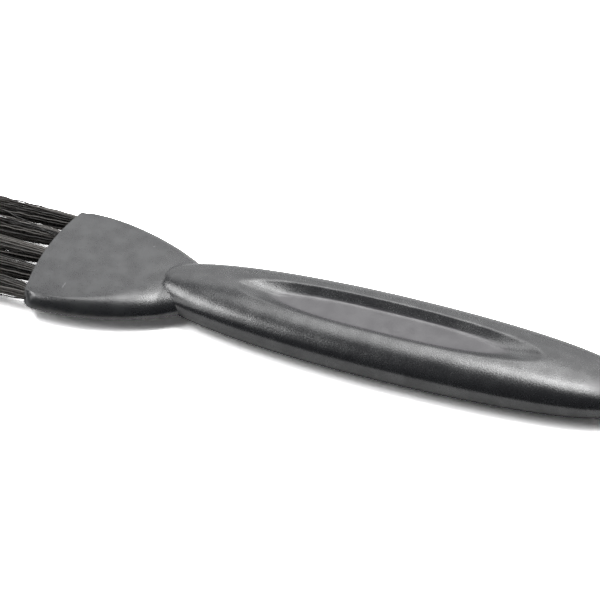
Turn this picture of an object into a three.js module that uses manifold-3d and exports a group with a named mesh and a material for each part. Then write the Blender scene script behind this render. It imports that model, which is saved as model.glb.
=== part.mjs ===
// Shaver cleaning brush: a fan-shaped head and a spindle handle moulded in one piece, with one row of
// bristle tufts along the head's curved front edge. Each tuft is folded round a flat wire anchor in a
// blind hole. Millimetres, +Z up. The bristles point along -X, the tail of the handle along +X. The brush
// lies on the flat land of its underside at Z = 0, and X = 0 is halfway between bristle tips and tail.

import * as THREE from 'three';
import { mergeGeometries, mergeVertices } from 'three/addons/utils/BufferGeometryUtils.js';
import Module from 'manifold-3d';

// Handle: a spindle, domed above and flatter below a straight belt at the parting line. Its nose is blunt,
// narrower by NOSE_TAPER and lower by NOSE_FALL than its middle.
const HANDLE_LENGTH = 63;
const HANDLE_WIDTH = 14.8;
const CROWN_HEIGHT = 3.6;
const BELLY_DEPTH = 2.7;
const BELT_HEIGHT = 0.5;
const NOSE_ROUNDNESS = 0.08;
const NOSE_TAPER = 0.32;
const NOSE_FALL = 0.4;
const TAIL_PLAN_ROUNDNESS = 0.29;
const TAIL_SIDE_ROUNDNESS = 0.24;
const DOME_FULLNESS = 2.15;
const LAND_DEPTH = 0.4;
const HANDLE_STATIONS = 38;
const DOME_STEPS = 14;

// Thumb recess in the top of the handle: a flat floor and sloping walls that run out in long ramps.
const RECESS_DEPTH = 1.2;
const RECESS_FLOOR_LENGTH = 29.4;
const RECESS_FLOOR_WIDTH = 4;
const RECESS_MOUTH_LENGTH = 46.4;
const RECESS_MOUTH_WIDTH = 7.8;
const RECESS_OFFSET = -0.8;
const RECESS_LONG_POWER = 2.75;
const RECESS_CROSS_POWER = 1.7;
const RECESS_STEPS = 56;

// Head: a fan with rounded flanks and a narrow belt, cut off square along its front arc. Its tongue runs
// on into the nose of the handle. HEAD_TOP and HEAD_BELT_DROP are counted from the handle's parting line.
// The flanks' rounding grows from the widest place to the end of the tongue.
const HEAD_LENGTH = 16.6;
const HEAD_THICKNESS = 2.95;
const HEAD_TOP = 1.6;
const HEAD_BELT_DROP = 0.15;
const HEAD_BELT_HEIGHT = 0.2;
const FLANK_ROUNDING = 2.4;
const TONGUE_ROUNDING = 3.9;
const FRONT_ROUNDING = 0.2;
const FRONT_RADIUS = 45;
const CORNER_RADIUS = 1.1;
const WIDEST_BEHIND_FRONT = 3.3;
const TONGUE_LENGTH = 5;
const TONGUE_FLAT = 0.2;
const FLANK_STEPS = 5;
const ARC_STEPS = 10;

// Tuft holes, drilled into the front edge along X. The row sets the width of the head.
const TUFT_COUNT = 5;
const TUFT_PITCH = 3.92;
const ROW_MARGIN = 2.66;
const HOLE_WALL = 0.4;
const HOLE_DEPTH = 4.5;
const HOLE_SIDES = 16;
const OVERCUT = 1;

// Anchors: flat wire, driven in across the hole so that both ends bite into its sides.
const ANCHOR_THICKNESS = 0.3;
const ANCHOR_HEIGHT = 1.5;
const ANCHOR_BITE = 0.45;
const ANCHOR_CLEARANCE = 0.15;

// Tufts: filaments in a hexagonal bundle, folded round the anchor at the root and fanning out to the tips.
const BRISTLE_LENGTH = 12.9;
const TUFT_CLEARANCE = 0.25;
const FOLD_THICKNESS = 0.6;
const FOLD_STEPS = 3;
const ROOT_SETBACK = 0.3;
const STRAND_EMBED = 0.3;
const STRAND_WIDTH = 0.14;
const STRAND_GAP = 0.02;
const STRAND_SIDES = 3;
const TIP_GAP = 1.3;
const BEND_DISTANCE = 4.4;
const BEND_OPENING = 0.5;
const TRIM_VARIATION = 0.6;

// Sizes and places that follow from the ones above.
const TOTAL_LENGTH = BRISTLE_LENGTH + HEAD_LENGTH + HANDLE_LENGTH;
const X_FRONT = BRISTLE_LENGTH - TOTAL_LENGTH / 2;
const X_NOSE = X_FRONT + HEAD_LENGTH;
const X_HANDLE = X_NOSE + HANDLE_LENGTH / 2;
const Z_PARTING = BELLY_DEPTH - LAND_DEPTH;
const Z_HEAD_TOP = Z_PARTING + HEAD_TOP;
const Z_HEAD_BELT = Z_PARTING - HEAD_BELT_DROP;
const Z_UNDERSIDE = Z_HEAD_TOP - HEAD_THICKNESS;
const HEAD_WIDTH = (TUFT_COUNT - 1) * TUFT_PITCH + 2 * ROW_MARGIN;
const TONGUE_WIDTH = 2 * TONGUE_ROUNDING + TONGUE_FLAT;
const HOLE_DIAMETER = HEAD_THICKNESS - 2 * HOLE_WALL;
const ROOT_RADIUS = HOLE_DIAMETER / 2 - TUFT_CLEARANCE;
const ANCHOR_WIDTH = HOLE_DIAMETER + 2 * ANCHOR_BITE;
const ANCHOR_DEEP_EDGE = HOLE_DEPTH - TUFT_CLEARANCE - FOLD_THICKNESS - ANCHOR_CLEARANCE;
const STRAND_PITCH = STRAND_WIDTH + STRAND_GAP;
const STRAND_RINGS = Math.floor((ROOT_RADIUS - STRAND_WIDTH / 2) / STRAND_PITCH);
const TIP_RADIUS = (TUFT_PITCH - TIP_GAP) / 2;

const wasm = await Module();
wasm.setup();

function toSolid(geometry) {
  const bare = geometry.clone();
  bare.deleteAttribute('normal');
  bare.deleteAttribute('uv');
  const merged = mergeVertices(bare, 1e-5);
  return new wasm.Manifold(new wasm.Mesh({
    numProp: 3,
    vertProperties: new Float32Array(merged.attributes.position.array),
    triVerts: new Uint32Array(merged.index.array),
  }));
}

function toGeometry(solid) {
  const mesh = solid.getMesh();
  const geometry = new THREE.BufferGeometry();
  geometry.setAttribute('position', new THREE.BufferAttribute(mesh.vertProperties, mesh.numProp));
  geometry.setIndex(new THREE.BufferAttribute(mesh.triVerts, 1));
  geometry.computeVertexNormals();
  return geometry;
}

// Closed skin over rings of points. Each end is closed by a fan to its own centre point.
function loft(rings, startCentre, endCentre) {
  const count = rings[0].length;
  const points = [startCentre, ...rings.flat(), endCentre];
  const last = points.length - 1;
  const index = [];
  for (let i = 0; i < count; i += 1) {
    const j = (i + 1) % count;
    index.push(0, 1 + j, 1 + i);
    for (let k = 0; k < rings.length - 1; k += 1) {
      const near = 1 + k * count;
      const far = near + count;
      index.push(near + i, near + j, far + j);
      index.push(near + i, far + j, far + i);
    }
    index.push(last, last - count + i, last - count + j);
  }
  const geometry = new THREE.BufferGeometry().setFromPoints(points);
  geometry.setIndex(index);
  return geometry;
}

function superellipse(angle, power) {
  const c = Math.cos(angle);
  return Math.sign(c) * Math.abs(c) ** (2 / power);
}

// One section of the handle at a share t of its half length: crown, belt and belly, which is cut flat at
// the land.
function handleSection(t) {
  const taper = 1 - t ** 2;
  const nose = taper ** NOSE_ROUNDNESS;
  const plan = t < 0 ? nose * (1 - NOSE_TAPER * t ** 2) : taper ** TAIL_PLAN_ROUNDNESS;
  const swell = t < 0 ? nose * (1 - NOSE_FALL * t ** 4) : taper ** TAIL_SIDE_ROUNDNESS;
  const halfWidth = HANDLE_WIDTH / 2 * plan;
  const halfBelt = BELT_HEIGHT / 2 * swell;
  const x = X_HANDLE + t * HANDLE_LENGTH / 2;
  const ring = [];
  for (const side of [1, -1]) {
    const rounding = (side > 0 ? CROWN_HEIGHT : BELLY_DEPTH) * swell - halfBelt;
    for (let i = 0; i <= DOME_STEPS; i += 1) {
      const angle = Math.PI * i / DOME_STEPS;
      const y = side * halfWidth * superellipse(angle, DOME_FULLNESS);
      const rise = superellipse(Math.PI / 2 - angle, DOME_FULLNESS);
      const z = Z_PARTING + side * (halfBelt + rounding * rise);
      ring.push(new THREE.Vector3(x, y, Math.max(z, 0)));
    }
  }
  return ring;
}

// The stations crowd towards both ends, where the spindle rounds over.
function handleBlank() {
  const rings = [];
  for (let i = 1; i < HANDLE_STATIONS; i += 1) {
    const eased = THREE.MathUtils.smoothstep(i, 0, HANDLE_STATIONS);
    rings.push(handleSection(-Math.cos(Math.PI * eased)));
  }
  const nose = new THREE.Vector3(X_NOSE, 0, Z_PARTING);
  const tail = new THREE.Vector3(X_NOSE + HANDLE_LENGTH, 0, Z_PARTING);
  return loft(rings, nose, tail);
}

function recessRing(length, width, z) {
  const ring = [];
  for (let i = 0; i < RECESS_STEPS; i += 1) {
    const angle = 2 * Math.PI * i / RECESS_STEPS;
    const x = X_HANDLE + RECESS_OFFSET + length / 2 * superellipse(angle, RECESS_LONG_POWER);
    const y = width / 2 * superellipse(Math.PI / 2 - angle, RECESS_CROSS_POWER);
    ring.push(new THREE.Vector3(x, y, z));
  }
  return ring;
}

// The recess walls slope evenly from the floor to the mouth, and run on to clear the crown of the handle.
function recessTool() {
  const crown = Z_PARTING + CROWN_HEIGHT;
  const reach = (RECESS_DEPTH + OVERCUT) / RECESS_DEPTH;
  const topLength = RECESS_FLOOR_LENGTH + (RECESS_MOUTH_LENGTH - RECESS_FLOOR_LENGTH) * reach;
  const topWidth = RECESS_FLOOR_WIDTH + (RECESS_MOUTH_WIDTH - RECESS_FLOOR_WIDTH) * reach;
  const floorZ = crown - RECESS_DEPTH;
  const topZ = crown + OVERCUT;
  const x = X_HANDLE + RECESS_OFFSET;
  return loft(
    [
      recessRing(RECESS_FLOOR_LENGTH, RECESS_FLOOR_WIDTH, floorZ),
      recessRing(topLength, topWidth, topZ),
    ],
    new THREE.Vector3(x, 0, floorZ),
    new THREE.Vector3(x, 0, topZ),
  );
}

// Centre of the round corner that touches the front arc and the flank arc from inside.
function cornerCentre(front, frontRadius, flank, flankRadius) {
  const fromFront = frontRadius - CORNER_RADIUS;
  const fromFlank = flankRadius - CORNER_RADIUS;
  const span = flank.clone().sub(front);
  const distance = span.length();
  const along = (distance ** 2 + fromFront ** 2 - fromFlank ** 2) / (2 * distance);
  const across = Math.sqrt(fromFront ** 2 - along ** 2);
  const unit = span.normalize();
  const normal = new THREE.Vector2(unit.y, -unit.x);
  return front.clone().addScaledVector(unit, along).addScaledVector(normal, across);
}

function arcPoints(centre, radius, startAngle, endAngle) {
  const arc = new THREE.EllipseCurve(centre.x, centre.y, radius, radius, startAngle, endAngle);
  return arc.getPoints(ARC_STEPS);
}

// The head's outline, moved in from the belt by a share of the roundings: front arc, round corners, and
// flank arcs that close in from the widest place to the end of the tongue.
function headOutline(inwards) {
  const halfWidth = HEAD_WIDTH / 2 - FLANK_ROUNDING * inwards;
  const drop = halfWidth - (TONGUE_WIDTH / 2 - TONGUE_ROUNDING * inwards);
  const run = HEAD_LENGTH + TONGUE_LENGTH - WIDEST_BEHIND_FRONT;
  const flankRadius = (run ** 2 + drop ** 2) / (2 * drop);
  const front = new THREE.Vector2(X_FRONT + FRONT_RADIUS, 0);
  const flank = new THREE.Vector2(X_FRONT + WIDEST_BEHIND_FRONT, halfWidth - flankRadius);
  const frontRadius = FRONT_RADIUS - FRONT_ROUNDING * inwards;
  const corner = cornerCentre(front, frontRadius, flank, flankRadius);
  const flankAngle = corner.clone().sub(flank).angle();
  const frontAngle = corner.clone().sub(front).angle();
  const half = [
    ...arcPoints(flank, flankRadius, Math.acos(run / flankRadius), flankAngle),
    ...arcPoints(corner, CORNER_RADIUS, flankAngle, frontAngle).slice(1),
    ...arcPoints(front, frontRadius, frontAngle, Math.PI).slice(1),
  ];
  const otherHalf = half.slice(0, -1).reverse().map((point) => new THREE.Vector2(point.x, -point.y));
  return [...half, ...otherHalf];
}

// One mould half of the head: rings from the belt over the rounded flank to the flat face.
function headHalf(beltZ, faceZ) {
  const rings = [];
  for (let i = 0; i <= FLANK_STEPS; i += 1) {
    const angle = Math.PI / 2 * i / FLANK_STEPS;
    const z = beltZ + (faceZ - beltZ) * Math.sin(angle);
    const outline = headOutline(1 - Math.cos(angle));
    rings.push(outline.map((point) => new THREE.Vector3(point.x, point.y, z)));
  }
  return rings;
}

function headBlank() {
  const under = headHalf(Z_HEAD_BELT - HEAD_BELT_HEIGHT / 2, Z_UNDERSIDE).reverse();
  const upper = headHalf(Z_HEAD_BELT + HEAD_BELT_HEIGHT / 2, Z_HEAD_TOP);
  const x = X_FRONT + HEAD_LENGTH / 2;
  return loft(
    [...under, ...upper],
    new THREE.Vector3(x, 0, Z_UNDERSIDE),
    new THREE.Vector3(x, 0, Z_HEAD_TOP),
  );
}

// The mouth of each hole lies on the front arc, halfway up the head.
function tuftPlaces() {
  const places = [];
  for (let i = 0; i < TUFT_COUNT; i += 1) {
    const y = (i - (TUFT_COUNT - 1) / 2) * TUFT_PITCH;
    const x = X_FRONT + FRONT_RADIUS - Math.sqrt(FRONT_RADIUS ** 2 - y ** 2);
    places.push(new THREE.Vector3(x, y, (Z_HEAD_TOP + Z_UNDERSIDE) / 2));
  }
  return places;
}

// What one tuft takes out of the head: its blind hole, and the groove that the anchor's ends plough.
function holeTools(place) {
  const hole = new THREE.CylinderGeometry(
    HOLE_DIAMETER / 2, HOLE_DIAMETER / 2, HOLE_DEPTH + OVERCUT, HOLE_SIDES);
  hole.rotateZ(Math.PI / 2);
  hole.translate(place.x + (HOLE_DEPTH - OVERCUT) / 2, place.y, place.z);
  const grooveEnd = ANCHOR_DEEP_EDGE + ANCHOR_CLEARANCE;
  const groove = new THREE.BoxGeometry(
    grooveEnd + OVERCUT, ANCHOR_WIDTH + 2 * ANCHOR_CLEARANCE, ANCHOR_THICKNESS + 2 * ANCHOR_CLEARANCE);
  groove.translate(place.x + (grooveEnd - OVERCUT) / 2, place.y, place.z);
  return [hole, groove];
}

function bodyGeometry() {
  let solid = toSolid(handleBlank()).add(toSolid(headBlank()));
  solid = solid.subtract(toSolid(recessTool()));
  for (const place of tuftPlaces()) {
    for (const tool of holeTools(place)) {
      solid = solid.subtract(toSolid(tool));
    }
  }
  return toGeometry(solid);
}

// Root of a tuft, with its mouth at the origin: the packed, folded filaments, slotted where the anchor
// lies.
function rootSolid() {
  const deep = HOLE_DEPTH - TUFT_CLEARANCE;
  const profile = [];
  for (let i = 0; i <= FOLD_STEPS; i += 1) {
    const angle = Math.PI / 2 * i / FOLD_STEPS;
    const bulge = FOLD_THICKNESS * (1 - Math.cos(angle));
    profile.push(new THREE.Vector2(ROOT_RADIUS * Math.sin(angle), bulge));
  }
  profile.push(new THREE.Vector2(ROOT_RADIUS, deep - ROOT_SETBACK));
  profile.push(new THREE.Vector2(0, deep - ROOT_SETBACK));
  const root = new THREE.LatheGeometry(profile, HOLE_SIDES);
  root.rotateZ(Math.PI / 2);
  root.translate(deep, 0, 0);
  const slot = new THREE.BoxGeometry(
    ANCHOR_HEIGHT + 2 * ANCHOR_CLEARANCE, HOLE_DIAMETER, ANCHOR_THICKNESS + 2 * ANCHOR_CLEARANCE);
  slot.translate(ANCHOR_DEEP_EDGE - ANCHOR_HEIGHT / 2, 0, 0);
  return toSolid(root).subtract(toSolid(slot));
}

// Places of the filaments across the bundle, as shares of its radius: hexagons round a middle one.
function bundlePlaces() {
  const places = [];
  for (let row = -STRAND_RINGS; row <= STRAND_RINGS; row += 1) {
    const inRow = 2 * STRAND_RINGS - Math.abs(row);
    for (let i = 0; i <= inRow; i += 1) {
      const y = (i - inRow / 2) / STRAND_RINGS;
      const z = row * Math.sqrt(3) / 2 / STRAND_RINGS;
      places.push(new THREE.Vector2(y, z));
    }
  }
  return places;
}

// One filament, from inside the root through its bend to the tip.
function strandGeometry(share, trim) {
  const rootSpread = STRAND_RINGS * STRAND_PITCH;
  const tipSpread = TIP_RADIUS - STRAND_WIDTH / 2;
  const bendSpread = rootSpread + (tipSpread - rootSpread) * BEND_OPENING;
  const stations = [
    [ROOT_SETBACK + STRAND_EMBED, rootSpread],
    [-BEND_DISTANCE, bendSpread],
    [trim - BRISTLE_LENGTH, tipSpread],
  ];
  const rings = stations.map(([x, spread]) => {
    const ring = [];
    for (let i = 0; i < STRAND_SIDES; i += 1) {
      const angle = -2 * Math.PI * i / STRAND_SIDES;
      const y = share.x * spread + STRAND_WIDTH / 2 * Math.cos(angle);
      const z = share.y * spread + STRAND_WIDTH / 2 * Math.sin(angle);
      ring.push(new THREE.Vector3(x, y, z));
    }
    return ring;
  });
  const centre = ([x, spread]) => new THREE.Vector3(x, share.x * spread, share.y * spread);
  return loft(rings, centre(stations[0]), centre(stations[stations.length - 1]));
}

// The trim differs a little from filament to filament, by the golden ratio. The middle one is the longest.
function tuftGeometry() {
  const golden = (Math.sqrt(5) - 1) / 2;
  const places = bundlePlaces();
  const middle = (places.length - 1) / 2;
  const strands = places.map((share, i) => {
    const trim = TRIM_VARIATION * (Math.abs(i - middle) * golden % 1);
    return strandGeometry(share, trim);
  });
  return toGeometry(rootSolid().add(toSolid(mergeGeometries(strands))));
}

function anchorGeometry() {
  const anchor = new THREE.BoxGeometry(ANCHOR_HEIGHT, ANCHOR_WIDTH, ANCHOR_THICKNESS);
  return anchor.translate(ANCHOR_DEEP_EDGE - ANCHOR_HEIGHT / 2, 0, 0);
}

const moulding = new THREE.MeshStandardMaterial({ color: 0x303135, roughness: 0.55, metalness: 0 });
const nylon = new THREE.MeshStandardMaterial({ color: 0x141416, roughness: 0.35, metalness: 0 });
const brassWire = new THREE.MeshStandardMaterial({ color: 0xb08d4f, roughness: 0.35, metalness: 1 });

function addPart(group, name, geometry, material) {
  const mesh = new THREE.Mesh(geometry, material);
  mesh.name = name;
  group.add(mesh);
  return mesh;
}

const brush = new THREE.Group();
addPart(brush, 'brush_body', bodyGeometry(), moulding);
const tuft = tuftGeometry();
const anchor = anchorGeometry();
tuftPlaces().forEach((place, i) => {
  addPart(brush, `tuft_${i + 1}`, tuft, nylon).position.copy(place);
  addPart(brush, `anchor_${i + 1}`, anchor, brassWire).position.copy(place);
});

export default brush;
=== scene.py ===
import math

import bpy
import numpy as np
from mathutils import Matrix, Vector


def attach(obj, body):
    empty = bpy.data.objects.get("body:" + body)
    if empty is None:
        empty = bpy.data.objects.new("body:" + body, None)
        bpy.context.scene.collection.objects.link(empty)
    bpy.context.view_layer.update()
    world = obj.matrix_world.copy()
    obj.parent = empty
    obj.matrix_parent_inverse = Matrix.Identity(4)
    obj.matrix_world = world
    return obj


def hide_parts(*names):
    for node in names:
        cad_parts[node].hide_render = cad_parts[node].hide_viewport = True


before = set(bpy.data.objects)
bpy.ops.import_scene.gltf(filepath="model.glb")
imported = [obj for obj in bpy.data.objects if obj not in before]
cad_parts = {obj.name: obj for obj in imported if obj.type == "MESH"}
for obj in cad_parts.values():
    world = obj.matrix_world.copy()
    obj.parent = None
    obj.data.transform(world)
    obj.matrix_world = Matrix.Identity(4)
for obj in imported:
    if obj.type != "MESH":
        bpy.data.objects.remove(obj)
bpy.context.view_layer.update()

# Charcoal of the moulding: an injection-moulded plastic with a fine spark-eroded grain all over. The grain is
# coarser on the head and smoother on the floor of the thumb recess, the gloss is a little uneven, and two pale
# scuffs come from use. The floor of the recess is also painted a paler grey-violet: a painted sheen that stands
# in for its brighter reflection.
MM = 0.001
GRAIN_SIZE = 0.19 * MM
GRAIN_HEIGHT = 0.03 * MM
MOTTLE_SIZE = 2.2 * MM
FLOOR_TOP_Z = 4.95 * MM
FLOOR_HALF_WIDTH = 3.2 * MM
FLOOR_FRONT_X = -10 * MM
FLOOR_FADE = 0.8 * MM
HEAD_BACK_X = -17 * MM
HEAD_FADE = 1.5 * MM
DARK_CHARCOAL = (0.025, 0.026, 0.029, 1)
PALE_CHARCOAL = (0.031, 0.033, 0.036, 1)
# Paler grey-violet of the recess floor: painted sheen, standing in for the floor's brighter reflection.
PAINTED_FLOOR_SHEEN = (0.074, 0.069, 0.078, 1)
SCUFF_GREY = (0.24, 0.24, 0.25, 1)
SCUFFS = [((-28.0, -6.45, 3.6), (0.13, 0.6, 0.6)), ((-20.3, 4.9, 4.0), (0.16, 0.16, 0.6))]  # middles, half sizes, mm
LEAST_ROUGH = 0.21
MOST_ROUGH = 0.27
ROUGHER_MOTTLE = 0.02
ROUGHER_HEAD = 0.05
SMOOTHER_FLOOR = 0.03
LEAST_GLOSS = 0.76
MOST_GLOSS = 1.0
PLASTIC_IOR = 1.6
GRAIN_STRENGTH = 0.42
FLOOR_GRAIN_STRENGTH = 0.25


def feed(tree, socket, value):
    """Gives an input a number or a colour, or links another node's output to it."""
    if isinstance(value, bpy.types.NodeSocket):
        tree.links.new(value, socket)
    else:
        socket.default_value = value


def lay(tree, kind, **links):
    """A node of this kind. Each link names an input and says what it gets."""
    node = tree.nodes.new(kind)
    for name, value in links.items():
        feed(tree, node.inputs[name.replace("_", " ")], value)
    return node


def reckon(tree, operation, *values):
    """The result of one sum."""
    node = tree.nodes.new("ShaderNodeMath")
    node.operation = operation
    for socket, value in zip(node.inputs, values):
        feed(tree, socket, value)
    return node.outputs[0]


def ramp(tree, value, low, high, to_low=0.0, to_high=1.0):
    """The value run from low..high onto to_low..to_high, and held there outside."""
    node = lay(tree, "ShaderNodeMapRange", Value=value, From_Min=low, From_Max=high, To_Min=to_low, To_Max=to_high)
    return node.outputs[0]


def two_tones(tree, value, low, low_colour, high, high_colour):
    """One colour up to the low value, another one from the high value on, and a blend between."""
    node = lay(tree, "ShaderNodeValToRGB", Fac=value)
    for element, position, colour in zip(node.color_ramp.elements, (low, high), (low_colour, high_colour)):
        element.position = position
        element.color = colour
    return node.outputs["Color"]


def blank_material(name):
    material = bpy.data.materials.new(name)
    material.use_nodes = True
    shader = material.node_tree.nodes["Principled BSDF"]
    return material, material.node_tree, shader


def blend(tree, share, first, second):
    """The first colour where the share is 0, the second one where it is 1."""
    node = tree.nodes.new("ShaderNodeMix")
    node.data_type = "RGBA"
    tree.links.new(share, node.inputs["Factor"])
    colours = [socket for socket in node.inputs if socket.type == "RGBA"]
    tree.links.new(first, colours[0])
    colours[1].default_value = second
    return next(socket for socket in node.outputs if socket.type == "RGBA")


def make_charcoal():
    material, tree, shader = blank_material("charcoal_grain")
    place = lay(tree, "ShaderNodeTexCoord").outputs["Object"]
    grain = lay(tree, "ShaderNodeTexNoise", Vector=place, Scale=1 / GRAIN_SIZE, Detail=1.5, Roughness=0.6)
    grain = grain.outputs["Fac"]
    mottle = lay(tree, "ShaderNodeTexNoise", Vector=place, Scale=1 / MOTTLE_SIZE, Detail=2.0).outputs["Fac"]
    spot = lay(tree, "ShaderNodeSeparateXYZ", Vector=place).outputs
    low = ramp(tree, spot["Z"], FLOOR_TOP_Z, FLOOR_TOP_Z - FLOOR_FADE / 4)
    amid = ramp(tree, reckon(tree, "ABSOLUTE", spot["Y"]), FLOOR_HALF_WIDTH, FLOOR_HALF_WIDTH - FLOOR_FADE)
    behind = ramp(tree, spot["X"], FLOOR_FRONT_X, FLOOR_FRONT_X + FLOOR_FADE * 2.5)
    floor = reckon(tree, "MULTIPLY", reckon(tree, "MULTIPLY", low, amid), behind)
    colour = two_tones(tree, mottle, 0.3, DARK_CHARCOAL, 0.7, PALE_CHARCOAL)
    # The recess floor gets the paler grey-violet: painted sheen, not a colour of the plastic.
    colour = blend(tree, floor, colour, PAINTED_FLOOR_SHEEN)
    for centre, half in SCUFFS:
        shift = [-c / h for c, h in zip(centre, half)]
        shrink = [1 / (h * MM) for h in half]
        near = lay(tree, "ShaderNodeMapping", Vector=place, Location=shift, Scale=shrink).outputs["Vector"]
        off = lay(tree, "ShaderNodeVectorMath", Vector=near)
        off.operation = "LENGTH"
        inside = ramp(tree, off.outputs["Value"], 1.1, 0.5)
        scuff = reckon(tree, "MULTIPLY", inside, ramp(tree, grain, 0.4, 0.6, 0.35, 1.0))
        colour = blend(tree, scuff, colour, SCUFF_GREY)
    tree.links.new(colour, shader.inputs["Base Color"])
    rough = ramp(tree, grain, 0.3, 0.7, LEAST_ROUGH, MOST_ROUGH)
    rough = reckon(tree, "ADD", rough, ramp(tree, mottle, 0.3, 0.7, 0.0, ROUGHER_MOTTLE))
    rough = reckon(tree, "ADD", rough, ramp(tree, spot["X"], HEAD_BACK_X, HEAD_BACK_X - HEAD_FADE, 0.0, ROUGHER_HEAD))
    rough = reckon(tree, "SUBTRACT", rough, reckon(tree, "MULTIPLY", floor, SMOOTHER_FLOOR))
    tree.links.new(rough, shader.inputs["Roughness"])
    gloss = ramp(tree, mottle, 0.35, 0.65, LEAST_GLOSS, MOST_GLOSS)
    tree.links.new(gloss, shader.inputs["Specular IOR Level"])
    shader.inputs["IOR"].default_value = PLASTIC_IOR
    depth = ramp(tree, floor, 0.0, 1.0, GRAIN_STRENGTH, FLOOR_GRAIN_STRENGTH)
    bump = lay(tree, "ShaderNodeBump", Strength=depth, Distance=GRAIN_HEIGHT, Height=grain)
    tree.links.new(bump.outputs["Normal"], shader.inputs["Normal"])
    return material


charcoal = make_charcoal()

# Handle blank: a spindle, blunt at both ends, domed above and below a straight belt where the two halves of the
# mould meet. The thumb recess is sunk into its top, and its underside is cut flat enough to lie on. It is moulded
# in one piece with the head.
HANDLE_SIZES = {
    "Nose X": -16.75 * MM,
    "Length": 63 * MM,
    "Width": 14.8 * MM,
    "Crown Height": 3.6 * MM,
    "Belly Depth": 2.7 * MM,
    "Belt Height": 0.5 * MM,
    "Belt Ridge": 0.04 * MM,
    "Parting Z": 2.3 * MM,
    "Nose Plan Roundness": 0.2,
    "Nose Side Roundness": 0.08,
    "Nose Taper": 0.2,
    "Nose Fall": 0.29,
    "Tail Plan Roundness": 0.29,
    "Tail Side Roundness": 0.24,
    "Dome Fullness": 2.15,
    "Recess Depth": 1.2 * MM,
    "Floor Length": 29.4 * MM,
    "Floor Width": 4.0 * MM,
    "Mouth Length": 46.4 * MM,
    "Mouth Width": 7.8 * MM,
    "Recess Offset": -0.8 * MM,
    "Long Power": 2.75,
    "Cross Power": 1.7,
    "Rim Softness": 0.12 * MM,
    "Floor Softness": 0.2 * MM,
    "Stations": 380,
    "Columns": 161,
}


def new_tree(name, sizes):
    """An empty geometry tree with a named input for each size."""
    tree = bpy.data.node_groups.new(name, "GeometryNodeTree")
    for label, value in sizes.items():
        kind = "NodeSocketInt" if isinstance(value, int) else "NodeSocketFloat"
        tree.interface.new_socket(label, in_out="INPUT", socket_type=kind)
    tree.interface.new_socket("Geometry", in_out="OUTPUT", socket_type="NodeSocketGeometry")
    return tree, tree.nodes.new("NodeGroupInput").outputs


def close_tree(tree, geometry, material):
    """Ends a tree in plain geometry with its material on."""
    real = lay(tree, "GeometryNodeRealizeInstances", Geometry=geometry).outputs["Geometry"]
    done = lay(tree, "GeometryNodeSetMaterial", Geometry=real, Material=material).outputs["Geometry"]
    tree.links.new(done, tree.nodes.new("NodeGroupOutput").inputs["Geometry"])


def add_object(name, mesh):
    piece = bpy.data.objects.new(name, mesh)
    bpy.context.scene.collection.objects.link(piece)
    return piece


def finished_mesh(piece):
    """The piece's mesh with its modifiers worked in."""
    bpy.context.view_layer.update()
    return bpy.data.meshes.new_from_object(piece.evaluated_get(bpy.context.evaluated_depsgraph_get()))


def grow(name, tree, sizes):
    """Runs a tree with these sizes and keeps the result as a plain mesh."""
    piece = add_object(name, bpy.data.meshes.new(name))
    modifier = piece.modifiers.new(name, "NODES")
    modifier.node_group = tree
    for item in tree.interface.items_tree:
        if item.in_out == "INPUT":
            modifier[item.identifier] = sizes[item.name]
    mesh = finished_mesh(piece)
    piece.modifiers.remove(modifier)
    piece.data = mesh
    return piece


def rounded_power(tree, wave, fullness):
    """One coordinate of a superellipse: the wave's sign times its size to the power 2 / fullness."""
    size = reckon(tree, "POWER", reckon(tree, "ABSOLUTE", wave), reckon(tree, "DIVIDE", 2.0, fullness))
    return reckon(tree, "MULTIPLY", reckon(tree, "SIGN", wave), size)


def oval_radius(tree, x, y, length, width, size):
    """How far out a point lies on the recess's oval of this length and width: 1 on the oval itself."""
    along = reckon(tree, "ABSOLUTE", reckon(tree, "DIVIDE", x, reckon(tree, "MULTIPLY", length, 0.5)))
    across = reckon(tree, "ABSOLUTE", reckon(tree, "DIVIDE", y, reckon(tree, "MULTIPLY", width, 0.5)))
    along = reckon(tree, "POWER", along, size["Long Power"])
    across = reckon(tree, "POWER", across, size["Cross Power"])
    both = reckon(tree, "ADD", along, across)
    return reckon(tree, "POWER", both, reckon(tree, "DIVIDE", 1.0, size["Cross Power"]))


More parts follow.
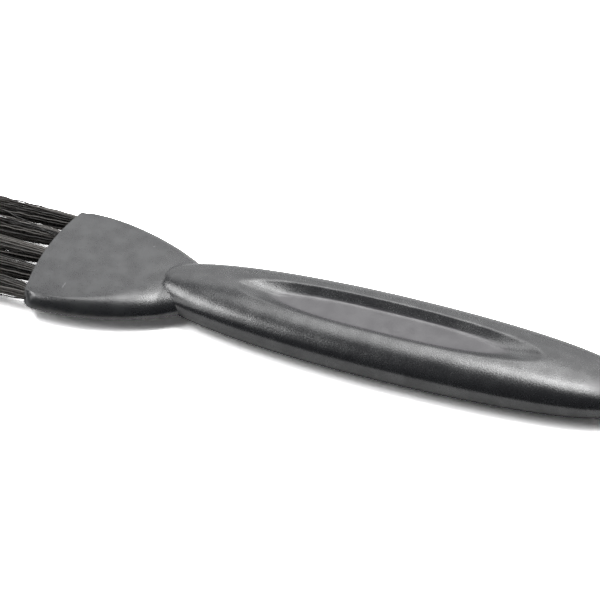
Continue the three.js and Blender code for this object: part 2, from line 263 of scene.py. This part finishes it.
def handle_tree():
    tree, size = new_tree("spindle_handle", HANDLE_SIZES)

    def sum_of(operation, *values):
        return reckon(tree, operation, *values)

    grid = lay(tree, "GeometryNodeMeshGrid", Vertices_X=size["Stations"], Vertices_Y=size["Columns"])
    spot = lay(tree, "ShaderNodeSeparateXYZ", Vector=lay(tree, "GeometryNodeInputPosition").outputs[0]).outputs
    along = sum_of("ADD", spot["X"], 0.5)
    around = sum_of("ADD", spot["Y"], 0.5)

    # Along the spindle: stations crowd towards both ends.
    eased = sum_of("MULTIPLY", along, along)
    eased = sum_of("MULTIPLY", eased, sum_of("SUBTRACT", 3.0, sum_of("MULTIPLY", along, 2.0)))
    swing = sum_of("MULTIPLY", eased, math.pi)
    share = sum_of("MULTIPLY", sum_of("COSINE", swing), -1.0)
    taper = sum_of("MAXIMUM", sum_of("SUBTRACT", sum_of("POWER", sum_of("SINE", swing), 2.0), 1e-12), 0.0)
    in_nose = sum_of("LESS_THAN", share, 0.0)

    def closing_in(nose_roundness, nose_closing, power, tail_roundness):
        tail = sum_of("POWER", taper, tail_roundness)
        lost = sum_of("MULTIPLY", nose_closing, sum_of("POWER", sum_of("ABSOLUTE", share), power))
        nose = sum_of("MULTIPLY", sum_of("POWER", taper, nose_roundness), sum_of("SUBTRACT", 1.0, lost))
        return sum_of("ADD", tail, sum_of("MULTIPLY", in_nose, sum_of("SUBTRACT", nose, tail)))

    plan = closing_in(size["Nose Plan Roundness"], size["Nose Taper"], 2.0, size["Tail Plan Roundness"])
    swell = closing_in(size["Nose Side Roundness"], size["Nose Fall"], 4.0, size["Tail Side Roundness"])
    half_width = sum_of("MULTIPLY", sum_of("MULTIPLY", size["Width"], 0.5), plan)
    half_belt = sum_of("MULTIPLY", sum_of("MULTIPLY", size["Belt Height"], 0.5), swell)
    half_length = sum_of("MULTIPLY", size["Length"], 0.5)
    middle = sum_of("ADD", size["Nose X"], half_length)
    x = sum_of("ADD", middle, sum_of("MULTIPLY", share, half_length))

    # Around the spindle: upper dome, one belt wall, lower dome, the other belt wall.
    angle = sum_of("ADD", ramp(tree, around, 0.0, 0.6, 0.0, math.pi), ramp(tree, around, 0.65, 0.95, 0.0, math.pi))
    down = ramp(tree, around, 0.6, 0.65, 1.0, -1.0)
    up = ramp(tree, around, 0.95, 1.0, 0.0, 2.0)
    level = sum_of("ADD", down, up)
    crowded = sum_of("MULTIPLY", level, sum_of("ABSOLUTE", level))
    rise = rounded_power(tree, sum_of("SINE", angle), size["Dome Fullness"])
    y_share = rounded_power(tree, sum_of("COSINE", angle), size["Dome Fullness"])
    in_belly = sum_of("LESS_THAN", rise, 0.0)
    reach = sum_of("ADD", size["Crown Height"],
                   sum_of("MULTIPLY", in_belly, sum_of("SUBTRACT", size["Belly Depth"], size["Crown Height"])))
    dome = sum_of("ADD", sum_of("MULTIPLY", crowded, half_belt),
                  sum_of("MULTIPLY", sum_of("SUBTRACT", sum_of("MULTIPLY", reach, swell), half_belt), rise))
    ridge = sum_of("MULTIPLY", ramp(tree, sum_of("ABSOLUTE", level), 0.85, 1.0, 1.0, 0.0), size["Belt Ridge"])
    ridge = sum_of("MULTIPLY", ridge, sum_of("MULTIPLY", plan, sum_of("SIGN", y_share)))
    y = sum_of("ADD", sum_of("MULTIPLY", y_share, half_width), ridge)

    # Thumb recess: how far a point lies between the floor's oval and the mouth's gives the height of the wall.
    from_middle = sum_of("SUBTRACT", sum_of("SUBTRACT", x, middle), size["Recess Offset"])
    floor = oval_radius(tree, from_middle, y, size["Floor Length"], size["Floor Width"], size)
    mouth = oval_radius(tree, from_middle, y, size["Mouth Length"], size["Mouth Width"], size)
    climb = sum_of("MULTIPLY", sum_of("SUBTRACT", floor, 1.0), mouth)
    climb = sum_of("DIVIDE", climb, sum_of("SUBTRACT", floor, mouth))
    wall = sum_of("SMOOTH_MAX", sum_of("MULTIPLY", climb, size["Recess Depth"]), 0.0, size["Floor Softness"])
    sunk = sum_of("ADD", wall, sum_of("SUBTRACT", size["Crown Height"], size["Recess Depth"]))
    top = sum_of("SMOOTH_MIN", dome, sunk, size["Rim Softness"])
    z = sum_of("MAXIMUM", sum_of("ADD", top, size["Parting Z"]), 0.0)

    place = lay(tree, "ShaderNodeCombineXYZ", X=x, Y=y, Z=z).outputs["Vector"]
    skin = lay(tree, "GeometryNodeSetPosition", Geometry=grid.outputs["Mesh"], Position=place).outputs["Geometry"]
    closed = lay(tree, "GeometryNodeMergeByDistance", Geometry=skin, Distance=1e-7).outputs["Geometry"]
    outwards = lay(tree, "GeometryNodeFlipFaces", Mesh=closed).outputs["Mesh"]
    close_tree(tree, outwards, charcoal)
    return tree


body = grow("moulded_body", handle_tree(), HANDLE_SIZES)

# Head: a slightly crowned fan that thins towards its front, of the same moulding as the handle. Its front is cut off
# square along an arc, its flanks close in on the nose of the handle and grow rounder on the way, and a narrow belt
# runs round it where the mould halves meet.
HEAD_FRONT_X = -33.5 * MM
HEAD_LENGTH = 16.75 * MM
HEAD_WIDTH = 20.4 * MM
HEAD_TOP_Z = 4.1 * MM
HEAD_FALL = 0.35 * MM
HEAD_CROWN = 0.4 * MM
HEAD_BELT_Z = 1.85 * MM
HEAD_UNDERSIDE_Z = 0.9 * MM
HEAD_BELT = 0.1 * MM
FLANK_ROUNDING = 1.5 * MM
FLANK_UNDERCUT = 3.0 * MM
FLANK_ONSET = 2.3
FLANK_POWER = 0.5
FRONT_FLANK_POWER = 0.9
NECK_ROUNDING = 8.3 * MM
NECK_SHARE = 0.93
FRONT_ROUNDING = 0.2 * MM
FRONT_RADIUS = 45 * MM
CORNER_RADIUS = 1.8 * MM
CORNER_ROOM = 1.65 * MM
CORNER_REACH = 8 * MM
CORNER_SQUARENESS = 4
WIDEST_BEHIND_FRONT = 3.3 * MM
TONGUE_LENGTH = 4 * MM
TONGUE_WIDTH = 9.2 * MM


def arc(centre, radius, start, end, steps):
    angles = np.linspace(start, end, steps)
    return np.stack([centre[0] + radius * np.cos(angles), centre[1] + radius * np.sin(angles)], axis=1)


def head_outline():
    """Half of the belt's outline from tongue to front: points, ways inwards, and how far each lies along its flank.
    The last is 1 at the end of the tongue, 0 at the widest place, and goes on to -1 round the corner."""
    drop = (HEAD_WIDTH - TONGUE_WIDTH) / 2
    run = HEAD_LENGTH + TONGUE_LENGTH - WIDEST_BEHIND_FRONT
    flank_radius = (run ** 2 + drop ** 2) / (2 * drop)
    front = np.array([HEAD_FRONT_X + FRONT_RADIUS, 0.0])
    flank = np.array([HEAD_FRONT_X + WIDEST_BEHIND_FRONT, HEAD_WIDTH / 2 - flank_radius])
    span = flank - front
    apart = np.linalg.norm(span)
    unit = span / apart
    along = (apart ** 2 + (FRONT_RADIUS - CORNER_RADIUS) ** 2 - (flank_radius - CORNER_RADIUS) ** 2) / (2 * apart)
    across = math.sqrt((FRONT_RADIUS - CORNER_RADIUS) ** 2 - along ** 2)
    corner = front + unit * along + np.array([unit[1], -unit[0]]) * across
    flank_angle = math.atan2(*(corner - flank)[::-1])
    front_angle = math.atan2(*(corner - front)[::-1])
    side = arc(flank, flank_radius, math.acos(run / flank_radius), flank_angle, 70)
    turn = arc(corner, CORNER_RADIUS, flank_angle, front_angle, 20)[1:]
    nose = arc(front, FRONT_RADIUS, front_angle, math.pi, 40)[1:]
    points = np.concatenate([side, turn, nose])
    ways = np.concatenate([flank - side, corner - turn, front - nose])
    places = np.concatenate([np.clip((side[:, 0] - flank[0]) / run, 0, 1), np.linspace(0, -1, len(turn)),
                             np.full(len(nose), -1)])
    ways[:, 0] *= places <= 0
    return points, ways / np.linalg.norm(ways, axis=1)[:, None], places


def head_ring(inwards, rounding):
    """The outline, moved in from the belt by a share of its roundings, and its mirror image on the other side.
    The rounding grows towards the neck, and at the corner the flank's rounding runs straight on to the front."""
    points, ways, places = head_outline()
    along = np.maximum(places, 0)
    depth = np.minimum(rounding + (NECK_ROUNDING - rounding) * along ** 2, CORNER_ROOM + CORNER_REACH * along)
    turn = np.maximum(-places, 0) * math.pi / 2
    beside = np.cos(turn) / (CORNER_RADIUS - min(rounding, CORNER_ROOM))
    ahead = np.sin(turn) / (CORNER_RADIUS - FRONT_ROUNDING)
    reach = (beside ** CORNER_SQUARENESS + ahead ** CORNER_SQUARENESS) ** (-1 / CORNER_SQUARENESS)
    depth = np.where(places < 0, CORNER_RADIUS - reach, depth)
    depth = np.where(places > 0, np.minimum(depth, NECK_SHARE * points[:, 1]), depth)
    half = points + ways * depth[:, None] * inwards
    return np.concatenate([half, half[::-1][1:] * np.array([1, -1])])


def ring_skin(name, rings, material):
    """A closed mesh over rings of points. Strips from one side to the other close the first and the last ring."""
    count = len(rings[0])
    last = (len(rings) - 1) * count
    faces = []
    for k in range(len(rings) - 1):
        for i in range(count):
            j = (i + 1) % count
            faces.append([k * count + i, k * count + j, (k + 1) * count + j, (k + 1) * count + i])
    for i in range((count - 1) // 2):
        strip = [i, i + 1, count - 2 - i, count - 1 - i]
        if strip[1] == strip[2]:
            strip.pop(2)
        faces.append([last + corner for corner in strip])
        faces.append(strip[::-1])
    mesh = bpy.data.meshes.new(name)
    mesh.from_pydata(np.concatenate(rings).tolist(), [], faces)
    mesh.materials.append(material)
    return add_object(name, mesh)


def forwards(outline):
    """How far each point lies to the front: 0 at the neck, 1 at the front."""
    return 1 - (outline[:, 0] - HEAD_FRONT_X) / HEAD_LENGTH


def crowned_top(outline):
    return HEAD_TOP_Z - HEAD_FALL * forwards(outline) - HEAD_CROWN * (outline[:, 1] / HEAD_WIDTH * 2) ** 2


def head_blank():
    """Rings from the underside out to the belt, back over the rounded flank, and on across the crowned top."""
    under, upper = [], []
    for angle in np.linspace(math.pi / 2, 0, 20):
        outline = head_ring(1 - math.sin(angle), FLANK_UNDERCUT)
        depth = (HEAD_BELT_Z - HEAD_BELT / 2 - HEAD_UNDERSIDE_Z) * math.cos(angle) ** 2
        under.append(np.column_stack([outline, np.full(len(outline), HEAD_BELT_Z - HEAD_BELT / 2 - depth)]))
        outline = head_ring(1 - math.sin(angle), FLANK_ROUNDING)
        edge_z = HEAD_BELT_Z + HEAD_BELT / 2
        power = FLANK_POWER + (FRONT_FLANK_POWER - FLANK_POWER) * np.clip(forwards(outline), 0, 1)
        rise = (1 - math.sin(angle) ** FLANK_ONSET) ** power
        upper.append(np.column_stack([outline, edge_z + (crowned_top(outline) - edge_z) * rise]))
    for share in np.linspace(0.9, 0.1, 9):
        inner = outline * np.array([1, share])
        upper.append(np.column_stack([inner, crowned_top(inner)]))
    return ring_skin("head_blank", under[::-1] + upper, charcoal)


def combine(piece, tool, operation):
    """Joins a tool to the piece or cuts it away, and drops the tool."""
    modifier = piece.modifiers.new(tool.name, "BOOLEAN")
    modifier.operation = operation
    modifier.solver = "MANIFOLD"
    modifier.object = tool
    mesh = finished_mesh(piece)
    piece.modifiers.remove(modifier)
    piece.data = mesh
    bpy.data.objects.remove(tool)


combine(body, head_blank(), "UNION")

# Tuft holes: blind round holes drilled into the front edge, with a thin slit at each side where the ends of the
# wire anchor have bitten into the plastic.
TUFT_COUNT = 5
SHARP_ANGLE = math.radians(35)
TUFT_PITCH = 3.92 * MM
HOLE_RADIUS = 1.075 * MM
HOLE_DEPTH = 4.5 * MM
SLIT_WIDTH = 3.05 * MM
SLIT_THICKNESS = 0.34 * MM
SLIT_DEPTH = 4.4 * MM
ANCHOR_Z = 2.425 * MM
BREAKOUT = 1.0 * MM


def tuft_mouth(number):
    """The middle of a hole's mouth: on the front's arc, halfway up the front."""
    y = (number - (TUFT_COUNT - 1) / 2) * TUFT_PITCH
    x = HEAD_FRONT_X + FRONT_RADIUS - math.sqrt(FRONT_RADIUS ** 2 - y ** 2)
    return np.array([x, y, (HEAD_TOP_Z - HEAD_FALL - HEAD_CROWN / 2 + HEAD_UNDERSIDE_Z) / 2])


def prism_along_x(name, section, start, end):
    rings = [np.column_stack([np.full(len(section), x), section]) for x in (start, end)]
    return ring_skin(name, rings, charcoal)


for number in range(TUFT_COUNT):
    mouth = tuft_mouth(number)
    circle = arc(mouth[1:], HOLE_RADIUS, 0, 2 * math.pi, 33)[:-1]
    combine(body, prism_along_x("hole", circle, mouth[0] - BREAKOUT, mouth[0] + HOLE_DEPTH), "DIFFERENCE")
    half = np.array([SLIT_WIDTH, SLIT_THICKNESS]) / 2
    slit = np.array([mouth[1], ANCHOR_Z]) + np.array([[-1, -1], [1, -1], [1, 1], [-1, 1]]) * half
    combine(body, prism_along_x("slit", slit, mouth[0] - BREAKOUT, mouth[0] + SLIT_DEPTH), "DIFFERENCE")

body.data.shade_smooth()
body.data.set_sharp_from_angle(angle=SHARP_ANGLE)
evenly = body.modifiers.new("even_shading", "WEIGHTED_NORMAL")
evenly.keep_sharp = True
smooth_mesh = finished_mesh(body)
body.modifiers.remove(evenly)
body.data = smooth_mesh
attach(body, "root")
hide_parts("brush_body")

# Anchors: short pieces of flat brass wire, driven across the holes by the tufting machine. They hold the folds
# of the tufts at the bottom of the holes and stay out of sight.
BRASS = (0.60, 0.42, 0.17, 1)


def make_brass():
    material, tree, shader = blank_material("drawn_brass")
    place = lay(tree, "ShaderNodeTexCoord").outputs["Object"]
    stretched = lay(tree, "ShaderNodeMapping", Vector=place, Scale=(9000, 600, 9000)).outputs["Vector"]
    drawn = lay(tree, "ShaderNodeTexNoise", Vector=stretched, Scale=1.0, Detail=2.0).outputs["Fac"]
    shader.inputs["Base Color"].default_value = BRASS
    shader.inputs["Metallic"].default_value = 1.0
    tree.links.new(ramp(tree, drawn, 0.3, 0.7, 0.25, 0.45), shader.inputs["Roughness"])
    return material


brass = make_brass()
for number in range(TUFT_COUNT):
    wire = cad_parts[f"anchor_{number + 1}"]
    wire.data.materials.clear()
    wire.data.materials.append(brass)

# Tufts: bundles of crimped black nylon filaments, folded in half round their anchors. They leave the holes packed
# tight, soon spread until they touch their neighbours, and end in tips that are trimmed together. One filament has
# strayed across its tuft.
TUFT_SIZES = {
    "Filaments": 64,
    "Mouth X": 0.0,
    "Mouth Y": 0.0,
    "Mouth Z": 0.0,
    "Root Depth": 3.4 * MM,
    "Free Length": 12.9 * MM,
    "Root Radius": 0.93 * MM,
    "Tip Radius": 1.5 * MM,
    "Lean": 0.0,
    "Filament Thickness": 0.24 * MM,
    "Trim Variation": 0.6 * MM,
    "Wander": 0.38 * MM,
    "Crimp Height": 0.05 * MM,
    "Crimp Length": 2.6 * MM,
    "Stray": 0.0,
    "Steps": 24,
    "Seed": 0,
}
OPENING_POWER = 0.42
OUTER_LEAN = 0.3 * MM
STRAY_REACH = 2.6 * MM
STRAY_RISE = 0.45
STRAY_TUFT = 3
FILAMENT_SIDES = 4
DARK_NYLON = (0.02, 0.019, 0.019, 1)
PALE_NYLON = (0.23, 0.216, 0.203, 1)


def make_nylon():
    material, tree, shader = blank_material("black_nylon")
    own = lay(tree, "ShaderNodeAttribute")
    own.attribute_name = "filament_tone"
    tone = two_tones(tree, own.outputs["Fac"], 0.3, DARK_NYLON, 1.0, PALE_NYLON)
    tree.links.new(tone, shader.inputs["Base Color"])
    place = lay(tree, "ShaderNodeTexCoord").outputs["Object"]
    streaks = lay(tree, "ShaderNodeMapping", Vector=place, Scale=(1300, 5000, 5000)).outputs["Vector"]
    streak = lay(tree, "ShaderNodeTexNoise", Vector=streaks, Scale=1.0, Detail=2.0).outputs["Fac"]
    tree.links.new(ramp(tree, streak, 0.35, 0.65, 0.22, 0.5), shader.inputs["Roughness"])
    return material


def tuft_tree(nylon):
    tree, size = new_tree("bristle_tuft", TUFT_SIZES)

    def sum_of(operation, *values):
        return reckon(tree, operation, *values)

    # Filaments stand in a sunflower pattern over a disc of radius 1.
    dots = lay(tree, "GeometryNodePoints", Count=size["Filaments"]).outputs["Points"]
    index = lay(tree, "GeometryNodeInputIndex").outputs[0]
    out = sum_of("SQRT", sum_of("DIVIDE", sum_of("ADD", index, 0.5), size["Filaments"]))
    turn = sum_of("ADD", sum_of("MULTIPLY", index, math.pi * (3 - math.sqrt(5))), size["Seed"])
    disc = lay(tree, "ShaderNodeCombineXYZ", Y=sum_of("MULTIPLY", out, sum_of("COSINE", turn)),
               Z=sum_of("MULTIPLY", out, sum_of("SINE", turn))).outputs["Vector"]
    dots = lay(tree, "GeometryNodeSetPosition", Geometry=dots, Position=disc).outputs["Geometry"]
    line = lay(tree, "GeometryNodeCurvePrimitiveLine", End=(1, 0, 0)).outputs["Curve"]
    line = lay(tree, "GeometryNodeResampleCurve", Curve=line, Count=size["Steps"]).outputs["Curve"]
    strands = lay(tree, "GeometryNodeInstanceOnPoints", Points=dots, Instance=line).outputs["Instances"]
    strands = lay(tree, "GeometryNodeRealizeInstances", Geometry=strands).outputs["Geometry"]

    # Each one runs from the fold to its tip, fanning out, wandering and waving a little on the way.
    spot = lay(tree, "ShaderNodeSeparateXYZ", Vector=lay(tree, "GeometryNodeInputPosition").outputs[0]).outputs
    strand = lay(tree, "GeometryNodeCurveOfPoint").outputs["Curve Index"]
    trim = lay(tree, "FunctionNodeRandomValue", ID=strand, Seed=size["Seed"])
    tree.links.new(size["Trim Variation"], trim.inputs["Max"])
    whole = sum_of("SUBTRACT", sum_of("ADD", size["Root Depth"], size["Free Length"]), trim.outputs["Value"])
    x = sum_of("SUBTRACT", size["Root Depth"], sum_of("MULTIPLY", spot["X"], whole))
    free = sum_of("DIVIDE", sum_of("MAXIMUM", sum_of("MULTIPLY", x, -1.0), 0.0), size["Free Length"])
    opening = sum_of("POWER", free, OPENING_POWER)
    spread = sum_of("ADD", size["Root Radius"],
                    sum_of("MULTIPLY", sum_of("SUBTRACT", size["Tip Radius"], size["Root Radius"]), opening))
    astray = sum_of("MULTIPLY", sum_of("LESS_THAN", strand, 0.5), size["Stray"])
    crossing = sum_of("SUBTRACT", sum_of("MULTIPLY", free, 1.4), 0.35)
    sideways = sum_of("MULTIPLY", astray, crossing)
    upwards = sum_of("MULTIPLY", astray, STRAY_RISE)
    sway = []
    for axis, own_seed, pull in (("Y", 11, sideways), ("Z", 23, upwards)):
        chance = lay(tree, "FunctionNodeRandomValue", ID=strand, Seed=sum_of("ADD", size["Seed"], own_seed))
        chance.inputs["Min"].default_value = -1.0
        lean = chance.outputs["Value"]
        drift = sum_of("MULTIPLY", sum_of("MULTIPLY", lean, size["Wander"]), free)
        wave = sum_of("DIVIDE", sum_of("MULTIPLY", x, 2 * math.pi), size["Crimp Length"])
        wave = sum_of("ADD", wave, sum_of("MULTIPLY", lean, 40))
        crimp = sum_of("MULTIPLY", sum_of("MULTIPLY", sum_of("SINE", wave), size["Crimp Height"]), opening)
        path = sum_of("ADD", sum_of("MULTIPLY", spot[axis], spread), sum_of("ADD", drift, crimp))
        sway.append(sum_of("ADD", path, pull))
    sway[0] = sum_of("ADD", sway[0], sum_of("MULTIPLY", size["Lean"], opening))
    x = sum_of("ADD", size["Mouth X"], x)
    y = sum_of("ADD", size["Mouth Y"], sway[0])
    z = sum_of("ADD", size["Mouth Z"], sway[1])
    place = lay(tree, "ShaderNodeCombineXYZ", X=x, Y=y, Z=z).outputs["Vector"]
    strands = lay(tree, "GeometryNodeSetPosition", Geometry=strands, Position=place).outputs["Geometry"]
    own_tone = lay(tree, "FunctionNodeRandomValue", ID=strand, Seed=size["Seed"]).outputs["Value"]
    toned = lay(tree, "GeometryNodeStoreNamedAttribute", Geometry=strands, Name="filament_tone", Value=own_tone)
    radius = sum_of("MULTIPLY", size["Filament Thickness"], 0.5)
    section = lay(tree, "GeometryNodeCurvePrimitiveCircle", Resolution=FILAMENT_SIDES, Radius=radius).outputs["Curve"]
    toned = toned.outputs["Geometry"]
    solid = lay(tree, "GeometryNodeCurveToMesh", Curve=toned, Profile_Curve=section, Fill_Caps=True)
    smooth = lay(tree, "GeometryNodeSetShadeSmooth", Geometry=solid.outputs["Mesh"]).outputs["Geometry"]
    close_tree(tree, smooth, nylon)
    return tree


bristles = tuft_tree(make_nylon())
for number in range(TUFT_COUNT):
    mouth = tuft_mouth(number)
    sizes = dict(TUFT_SIZES)
    sizes.update({"Mouth X": mouth[0], "Mouth Y": mouth[1], "Mouth Z": mouth[2], "Seed": 3 + 7 * number})
    sizes["Lean"] = OUTER_LEAN * ((number == 0) - (number == TUFT_COUNT - 1))
    sizes["Stray"] = STRAY_REACH * (number == STRAY_TUFT)
    tuft = grow(f"bristles_{number + 1}", bristles, sizes)
    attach(tuft, "root")
    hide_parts(f"tuft_{number + 1}")

# Table: a plain white sheet under the brush. Its colour is paler for the camera than for the light on the brush,
# so that it shows white and still keeps the brush's soft shadow.
TABLE_HALF = 3.0
SHEET_WHITE = 0.82
SEEN_WHITE = 3.75
SHADOW_LIFT = 0.03


def make_table_white():
    material, tree, shader = blank_material("table_white")
    tree.nodes.remove(shader)
    rays = lay(tree, "ShaderNodeLightPath").outputs
    white = ramp(tree, rays["Is Camera Ray"], 0.0, 1.0, SHEET_WHITE, SEEN_WHITE)
    paper = lay(tree, "ShaderNodeBsdfDiffuse", Color=white).outputs["BSDF"]
    seen = reckon(tree, "MULTIPLY", rays["Is Camera Ray"], SHADOW_LIFT)
    lift = lay(tree, "ShaderNodeEmission", Strength=seen).outputs["Emission"]
    both = lay(tree, "ShaderNodeAddShader")
    tree.links.new(paper, both.inputs[0])
    tree.links.new(lift, both.inputs[1])
    tree.links.new(both.outputs["Shader"], tree.nodes["Material Output"].inputs["Surface"])
    return material


table_mesh = bpy.data.meshes.new("table")
table_mesh.from_pydata([(-TABLE_HALF, -TABLE_HALF, 0), (TABLE_HALF, -TABLE_HALF, 0), (TABLE_HALF, TABLE_HALF, 0),
                        (-TABLE_HALF, TABLE_HALF, 0)], [], [(0, 1, 2, 3)])
table_mesh.materials.append(make_table_white())
add_object("table", table_mesh)

# Light: broad pale screens behind the brush, a strip overhead at each side for the streaks on the handle, small
# cards between them and a fill from the front left. The room gives no light and shows white to the camera.
AIM = Vector((1.3, 0, 2.3)) * MM
CAMERA_AZIMUTH = math.radians(21.33)


def soft_box(name, rise, side, distance, width, height, brightness):
    """A lamp seen from the brush at an angle above the far horizon, and to the right of the camera's plane.
    At brightness 1 it looks as bright as a white sheet in plain light."""
    rise, side = math.radians(rise), math.radians(side)
    right = Vector((math.cos(CAMERA_AZIMUTH), math.sin(CAMERA_AZIMUTH), 0))
    away = Vector((-math.sin(CAMERA_AZIMUTH), math.cos(CAMERA_AZIMUTH), 0))
    up = Vector((0, 0, 1))
    towards = right * math.sin(side) + (away * math.cos(rise) + up * math.sin(rise)) * math.cos(side)
    upright = up * math.cos(rise) - away * math.sin(rise)
    lamp = bpy.data.lights.new(name, "AREA")
    lamp.shape = "RECTANGLE"
    lamp.size = width
    lamp.size_y = height
    lamp.energy = brightness * math.pi * width * height
    stand = add_object(name, lamp)
    stand.location = AIM + towards * distance
    stand.rotation_euler = Matrix((upright.cross(towards), upright, towards)).transposed().to_euler()


soft_box("low_screen", 14, 0, 0.6, 0.62, 0.22, 1.0)
soft_box("left_card", 14, -40, 0.6, 0.20, 0.22, 1.6)
soft_box("right_card", 14, 40, 0.6, 0.20, 0.22, 6.4)
soft_box("high_screen", 36, 10, 0.6, 0.80, 0.22, 1.48)
soft_box("left_strip", 76, -37, 0.6, 0.15, 0.44, 6.56)
soft_box("middle_card", 69, -8, 0.6, 0.20, 0.22, 3.12)
soft_box("right_strip", 71, 12, 0.6, 0.18, 0.50, 3.36)
soft_box("right_core", 77, 5, 0.59, 0.12, 0.16, 8.8)
soft_box("neck_card", 52, 0, 0.6, 0.14, 0.12, 2.4)
soft_box("front_fill", 108, -52, 0.6, 0.36, 0.18, 1.92)

world = bpy.data.worlds.new("room")
bpy.context.scene.world = world
world.use_nodes = True
room = world.node_tree
background = room.nodes["Background"]
rays = lay(room, "ShaderNodeLightPath").outputs
background.inputs["Color"].default_value = (1, 1, 1, 1)
room.links.new(rays["Is Camera Ray"], background.inputs["Strength"])

# Camera: at the photograph's place and angle, fitted to the outlines of head, handle and recess. It looks a little
# to the right of the brush's middle and above it.
CAMERA_ELEVATION = math.radians(38.89)
CAMERA_DISTANCE = 400 * MM
LENS = 188.16
AIM_RIGHT = 0.66 * MM
AIM_UP = 2.03 * MM
right = Vector((math.cos(CAMERA_AZIMUTH), math.sin(CAMERA_AZIMUTH), 0))
back = Vector((math.sin(CAMERA_AZIMUTH) * math.cos(CAMERA_ELEVATION),
               -math.cos(CAMERA_AZIMUTH) * math.cos(CAMERA_ELEVATION), math.sin(CAMERA_ELEVATION)))
above = back.cross(right)
camera_data = bpy.data.cameras.new("camera")
camera_data.lens = LENS
camera_data.sensor_width = 36
camera = add_object("camera", camera_data)
camera.location = AIM + back * CAMERA_DISTANCE
looking = AIM + right * AIM_RIGHT + above * AIM_UP - camera.location
camera.rotation_euler = looking.to_track_quat("-Z", "Y").to_euler()
bpy.context.scene.camera = camera
bpy.context.scene.view_settings.view_transform = "Standard"

# Brings the scene's placements up to date.
bpy.context.view_layer.update()
